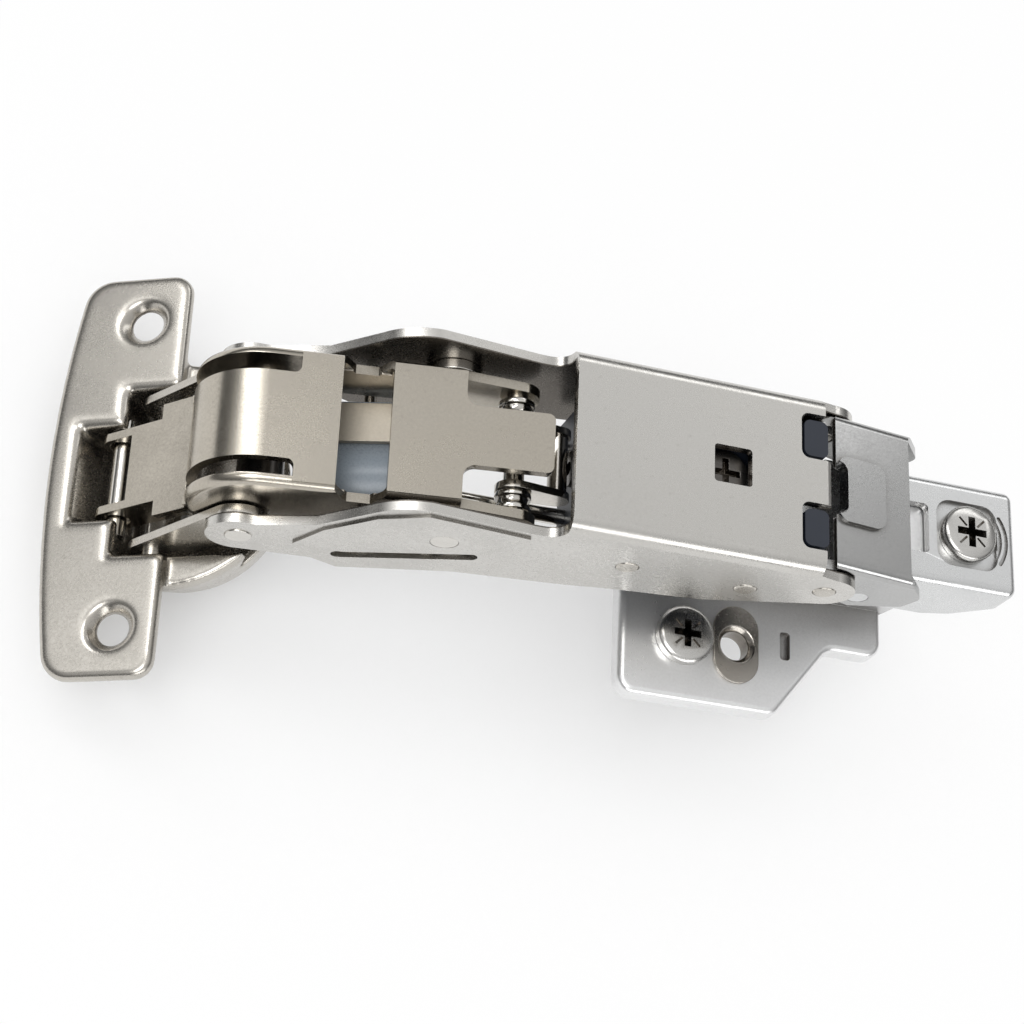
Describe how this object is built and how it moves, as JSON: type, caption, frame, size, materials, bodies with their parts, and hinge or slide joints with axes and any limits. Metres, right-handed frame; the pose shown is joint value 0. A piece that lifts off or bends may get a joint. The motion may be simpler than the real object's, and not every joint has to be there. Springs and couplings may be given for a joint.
{
  "type": "soft-close cabinet hinge",
  "caption": "Wide-angle concealed cabinet hinge with a soft-close damper in its arm, a drilled-in cup and a clip-on wing plate, shown with the cup swung open.",
  "frame": {"origin": "on the face of the cabinet panel, midway between the two panel screws", "axes": "+X runs to the rear along the arm, +Y along the line of the panel screws, +Z out from the panel"},
  "size_m": [0.1376, 0.0632, 0.0526],
  "materials": {
    "warm_nickel": "satin nickel plate",
    "bright_nickel": "bright nickel plate",
    "zinc": "satin nickel on zinc",
    "bright_steel": "polished",
    "screw_zinc": "plated",
    "spring_steel": "drawn wire",
    "dark_plastic": "moulded",
    "grey_plastic": "moulded"
  },
  "bodies": {
    "plate": {"mounting_plate": "zinc", "panel_screws": "screw_zinc", "plate_eyelets": "zinc", "latch_pin": "bright_steel"},
    "latch": {"release_latch": "zinc"},
    "carrier": {"rear_adapter": "zinc", "mid_channel": "bright_nickel", "carrier_rivets": "bright_steel"},
    "depth_cam": {"depth_cam": "screw_zinc"},
    "overlay_screw": {"overlay_screw": "screw_zinc"},
    "arm": {"arm_body": "warm_nickel", "arm_pivot_rivets": "bright_steel", "housing_pins": "bright_steel", "damper_housing": "dark_plastic", "closing_spring": "spring_steel", "lever_pin": "bright_steel", "lever_spacers": "bright_steel", "nose_rivets": "bright_steel"},
    "lever": {"outer_lever": "warm_nickel", "knuckle_pin": "bright_steel", "knuckle_bush": "spring_steel", "tail_pin": "bright_steel", "tail_spacers": "bright_steel"},
    "saddle": {"saddle_link": "bright_nickel"},
    "cup_link": {"cup_link": "warm_nickel"},
    "cup": {"hinge_cup": "warm_nickel", "cup_pin": "bright_steel", "cup_link_rivets": "bright_steel"},
    "slider": {"damper_slider": "grey_plastic", "slider_pins": "bright_steel", "push_plate": "bright_nickel"},
    "pistons": {"damper_pistons": "spring_steel"},
    "spring_link": {"spring_link": "bright_nickel"}
  },
  "joints": [
    {"name": "depth_slide", "type": "slide", "parent": "plate", "child": "carrier", "axis": [1, 0, 0], "range_m": [-0.0015, 0.0015]},
    {"name": "cam_turn", "type": "hinge", "parent": "carrier", "child": "depth_cam", "pos_m": [0.0375, 0, 0.0208], "axis": [0, 0, 1], "range_deg": [-49, 49]},
    {"name": "overlay_tilt", "type": "hinge", "parent": "carrier", "child": "arm", "pos_m": [0.0133, 0, 0.0223], "axis": [0, -1, 0], "range_deg": [-1, 1]},
    {"name": "overlay_turn", "type": "hinge", "parent": "carrier", "child": "overlay_screw", "pos_m": [-0.0037, 0, 0.024], "axis": [0, 0, 1], "range_deg": [-134, 134]},
    {"name": "door_swing", "type": "hinge", "parent": "arm", "child": "cup_link", "pos_m": [-0.0679, 0, 0.007], "axis": [0, -1, 0], "range_deg": [-107.3, 29]},
    {"name": "cup_swing", "type": "hinge", "parent": "cup_link", "child": "cup", "pos_m": [-0.0768, 0, -0.00929], "axis": [0, -1, 0], "range_deg": [-14.65, 3.97]},
    {"name": "lever_swing", "type": "hinge", "parent": "arm", "child": "lever", "pos_m": [-0.0415, 0, 0.0174], "axis": [0, -1, 0], "range_deg": [-1.94, 7.13]},
    {"name": "saddle_swing", "type": "hinge", "parent": "lever", "child": "saddle", "pos_m": [-0.066, 0, 0.0086], "axis": [0, -1, 0], "range_deg": [-113.08, 30.58]},
    {"name": "spring_link_swing", "type": "hinge", "parent": "lever", "child": "spring_link", "pos_m": [-0.0323, 0, 0.0183], "axis": [0, -1, 0], "range_deg": [-14.24, 3.86]},
    {"name": "slider_slide", "type": "slide", "parent": "arm", "child": "slider", "axis": [0.9292, 0, 0.3695], "range_m": [-0.00137, 0.00502]},
    {"name": "piston_slide", "type": "slide", "parent": "arm", "child": "pistons", "axis": [1, 0, 0], "range_m": [-0.00147, 0.00539]},
    {"name": "latch_press", "type": "hinge", "parent": "plate", "child": "latch", "pos_m": [0.026, 0, 0.013], "axis": [0, -1, 0], "range_deg": [0, 10], "stiffness_Nm_per_rad": 0.02}
  ],
  "couplings": [
    {"joint": "cam_turn", "follows": "depth_slide", "rad_per_m": 565},
    {"joint": "overlay_turn", "follows": "overlay_tilt", "ratio": 133},
    {"joint": "cup_swing", "follows": "door_swing", "ratio": 0.13636},
    {"joint": "lever_swing", "follows": "door_swing", "ratio": -0.06625},
    {"joint": "saddle_swing", "follows": "door_swing", "ratio": 1.0536},
    {"joint": "spring_link_swing", "follows": "door_swing", "ratio": 0.1325},
    {"joint": "slider_slide", "follows": "door_swing", "m_per_rad": -0.002667},
    {"joint": "piston_slide", "follows": "door_swing", "m_per_rad": -0.00287}
  ]
}
